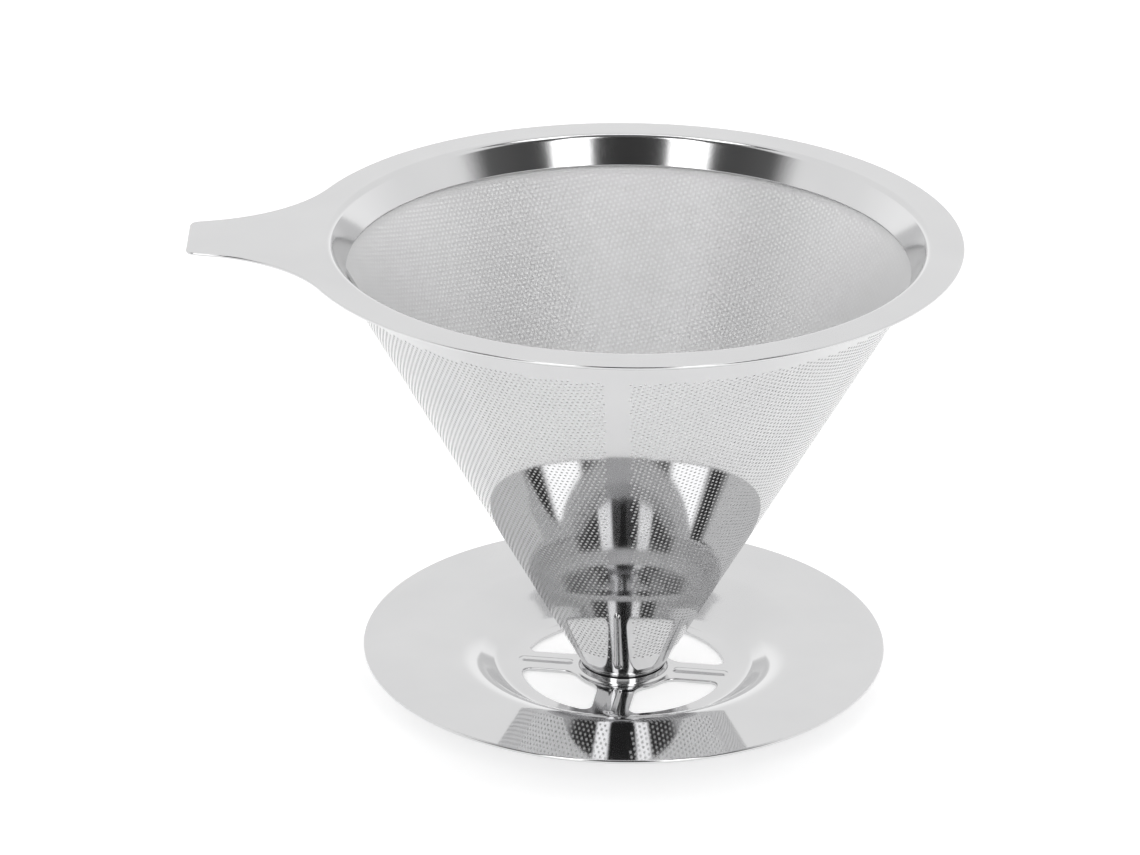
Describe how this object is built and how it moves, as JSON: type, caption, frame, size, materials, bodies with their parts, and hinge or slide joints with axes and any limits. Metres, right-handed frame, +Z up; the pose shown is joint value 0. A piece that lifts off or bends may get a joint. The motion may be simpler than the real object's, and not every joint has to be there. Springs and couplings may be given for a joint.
{
  "type": "pour over coffee dripper",
  "caption": "Conical double-walled pour over coffee dripper: perforated outer cone, woven mesh inner cone, flanged rim with a flat handle tab, and a round spoked stand that sits on a mug.",
  "frame": {"origin": "on the cone's axis, in the plane of the stand's lowest face, at the rivet head's flat underside", "axes": "+Z up along the cone's axis, -X towards the handle's tip"},
  "size_m": [0.1447, 0.125, 0.0905],
  "materials": {
    "polished_steel": "polished",
    "perforated_steel": "polished, perforated",
    "mesh_steel": "woven"
  },
  "bodies": {
    "root": {"rim": "polished_steel", "outer_cone": "perforated_steel", "mesh_cone": "mesh_steel", "mesh_cup": "polished_steel", "bottom_cap": "polished_steel", "cup_stand": "polished_steel", "hub_rivet": "polished_steel"}
  },
  "joints": []
}
